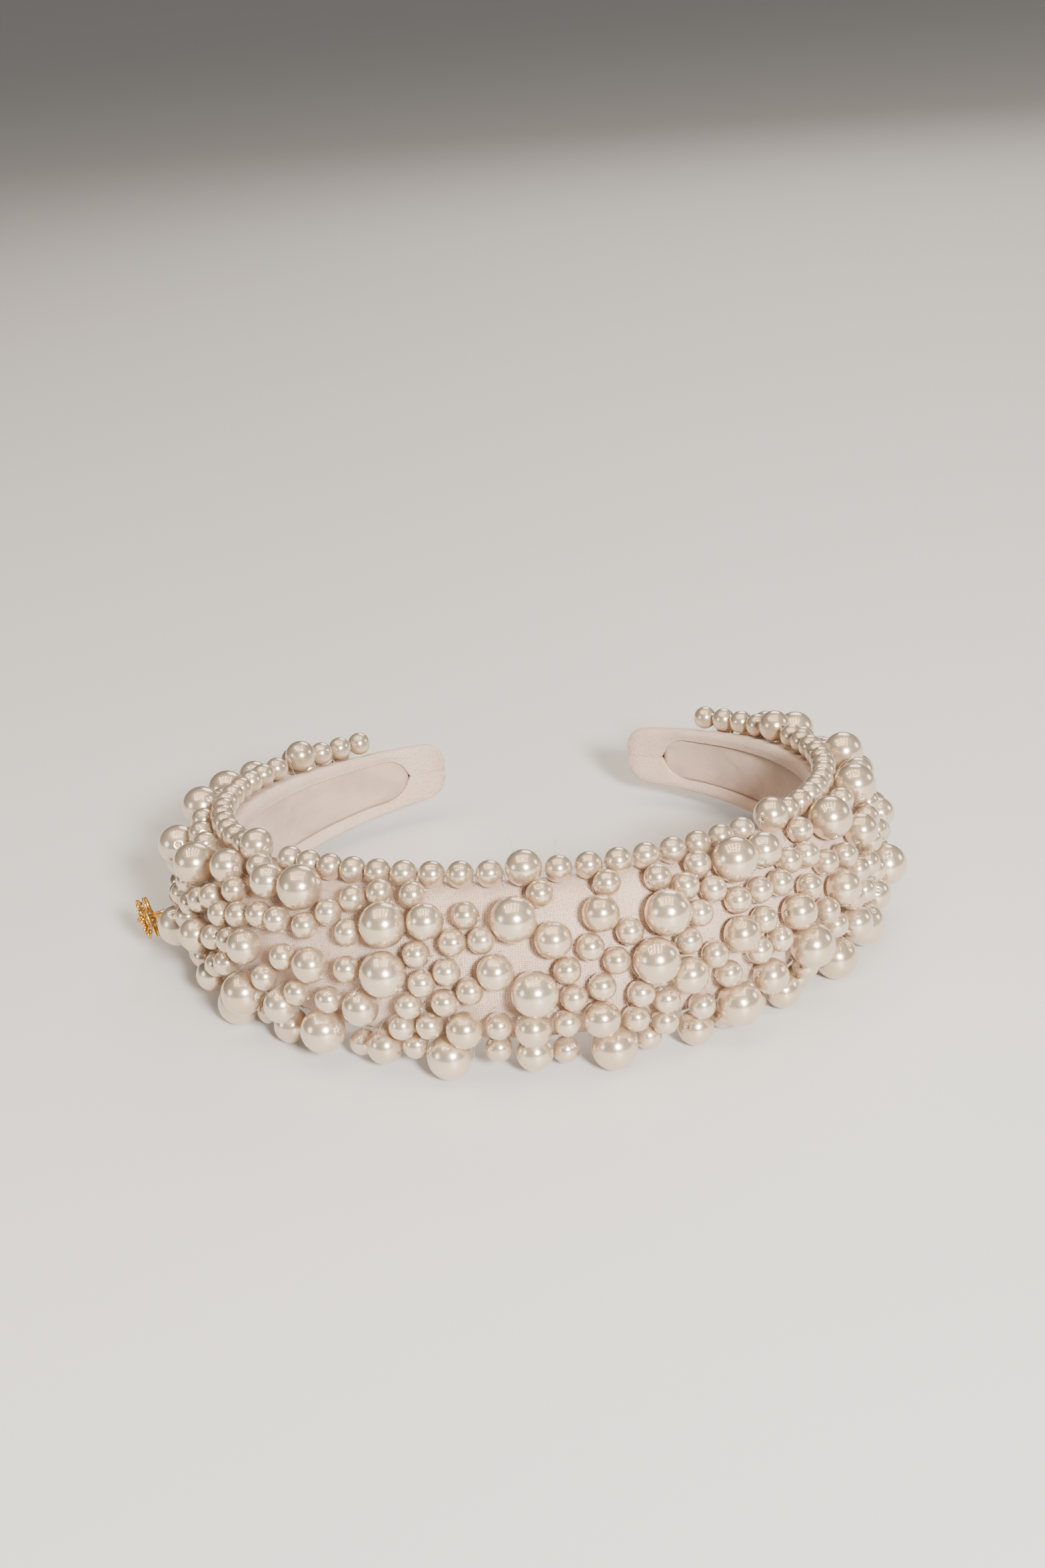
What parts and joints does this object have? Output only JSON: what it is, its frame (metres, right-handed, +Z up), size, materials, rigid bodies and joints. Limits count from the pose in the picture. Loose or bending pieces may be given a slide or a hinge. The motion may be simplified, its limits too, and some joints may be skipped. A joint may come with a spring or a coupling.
{
  "type": "bridal headband tiara",
  "caption": "Padded bridal headband in pale crepe, closely beaded with round pearls of mixed sizes, open at the back with bare rounded tips and a small gold openwork ornament on one side.",
  "frame": {"origin": "centre of the bounding box in plan, on the surface the headband lies on", "axes": "+X across the head from tip side to tip side, crown towards -Y, open ends towards +Y, +Z up from the lower edge to the upper edge"},
  "size_m": [0.1856, 0.1612, 0.0483],
  "materials": {
    "cover_fabric": "matt crepe with fine pits",
    "lining_velvet": "short soft pile",
    "hoop_plastic": "plain moulded",
    "foam_padding": "soft open foam",
    "pearl_shell": "pearlescent lacquer",
    "gold_metal": "polished"
  },
  "bodies": {
    "root": {"core_hoop": "hoop_plastic", "foam_pad": "foam_padding", "outer_cover": "cover_fabric", "inner_lining": "lining_velvet", "pearl_10mm_01": "pearl_shell", "pearl_10mm_02": "pearl_shell", "pearl_10mm_03": "pearl_shell", "pearl_10mm_04": "pearl_shell", "pearl_10mm_05": "pearl_shell", "pearl_10mm_06": "pearl_shell", "pearl_10mm_07": "pearl_shell", "pearl_10mm_08": "pearl_shell", "pearl_10mm_09": "pearl_shell", "pearl_10mm_10": "pearl_shell", "pearl_10mm_11": "pearl_shell", "pearl_10mm_12": "pearl_shell", "pearl_10mm_13": "pearl_shell", "pearl_10mm_14": "pearl_shell", "pearl_10mm_15": "pearl_shell", "pearl_10mm_16": "pearl_shell", "pearl_10mm_17": "pearl_shell", "pearl_10mm_18": "pearl_shell", "pearl_10mm_19": "pearl_shell", "pearl_10mm_20": "pearl_shell", "pearl_10mm_21": "pearl_shell", "pearl_10mm_22": "pearl_shell", "pearl_10mm_23": "pearl_shell", "pearl_10mm_24": "pearl_shell", "pearl_10mm_25": "pearl_shell", "pearl_10mm_26": "pearl_shell", "pearl_10mm_27": "pearl_shell", "pearl_10mm_28": "pearl_shell", "pearl_10mm_29": "pearl_shell", "pearl_10mm_30": "pearl_shell", "pearl_10mm_31": "pearl_shell", "pearl_10mm_32": "pearl_shell", "pearl_10mm_33": "pearl_shell", "pearl_10mm_34": "pearl_shell", "pearl_10mm_35": "pearl_shell", "pearl_10mm_36": "pearl_shell", "pearl_10mm_37": "pearl_shell", "upper_edge_row": "pearl_shell", "pearl_cluster_left_3": "pearl_shell", "pearl_cluster_left_2": "pearl_shell", "pearl_cluster_left_1": "pearl_shell", "pearl_cluster_front": "pearl_shell", "pearl_cluster_right_1": "pearl_shell", "pearl_cluster_right_2": "pearl_shell", "pearl_cluster_right_3": "pearl_shell", "gold_rosette": "gold_metal"}
  },
  "joints": []
}
